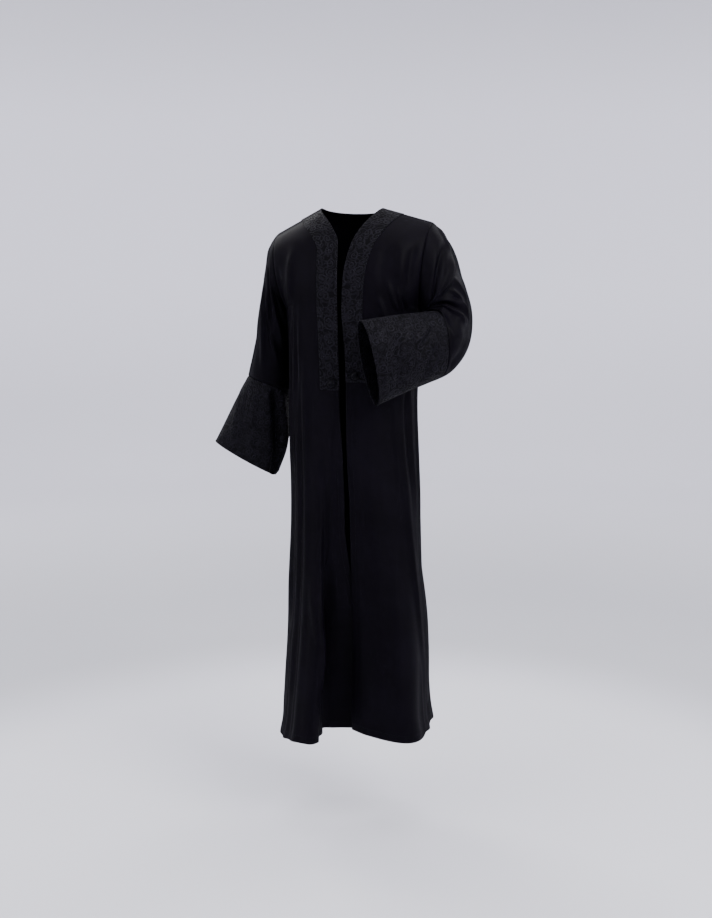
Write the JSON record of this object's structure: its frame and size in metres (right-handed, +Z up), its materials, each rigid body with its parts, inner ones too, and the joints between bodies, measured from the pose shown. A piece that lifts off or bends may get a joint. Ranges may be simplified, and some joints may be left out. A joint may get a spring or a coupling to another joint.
{
  "type": "abaya cloak",
  "caption": "Ankle-length abaya cloak in its worn pose, open in front, with flared lace cuffs, a lace band down each front edge and a domed button at each band's foot.",
  "frame": {"origin": "between the wearer's shoulders at the base of the neck, where the garment is carried", "axes": "+Z up along the wearer, the front opening faces -Y, and the wearer's left side is +X"},
  "size_m": [0.6602, 0.3782, 1.2916],
  "materials": {
    "cloth": "black crepe with a soft sheen",
    "lace": "black scrolled lace laid over cloth",
    "button": "glossy black"
  },
  "bodies": {
    "root": {"front_right": "cloth", "front_left": "cloth", "back": "cloth", "sleeve_right": "cloth", "sleeve_left": "cloth", "cuff_right": "lace", "cuff_left": "lace", "band_right": "lace", "band_left": "lace", "button_right": "button", "button_left": "button"}
  },
  "joints": []
}
